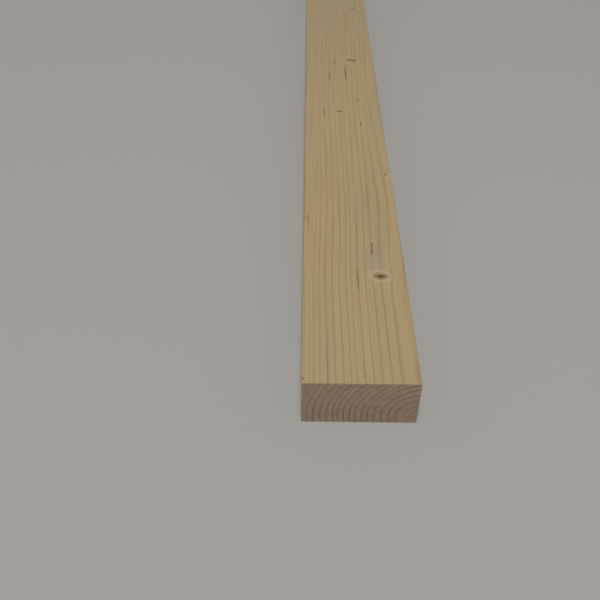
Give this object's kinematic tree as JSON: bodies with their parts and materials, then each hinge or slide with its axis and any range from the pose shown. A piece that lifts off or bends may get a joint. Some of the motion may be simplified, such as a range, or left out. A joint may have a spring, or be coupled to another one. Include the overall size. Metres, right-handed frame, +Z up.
{
  "type": "timber plank",
  "caption": "Planed softwood plank of batten section with slightly eased long arrises and square-sawn ends, lying on one wide face.",
  "frame": {"origin": "middle of the wide face that the plank rests on", "axes": "+Y along the grain, away from the end that the picture shows; +X across the width; +Z up through the thickness"},
  "size_m": [0.048, 2, 0.024],
  "materials": {
    "softwood": "planed and bare, with a dry matt surface"
  },
  "bodies": {
    "root": {"plank": "softwood"}
  },
  "joints": []
}
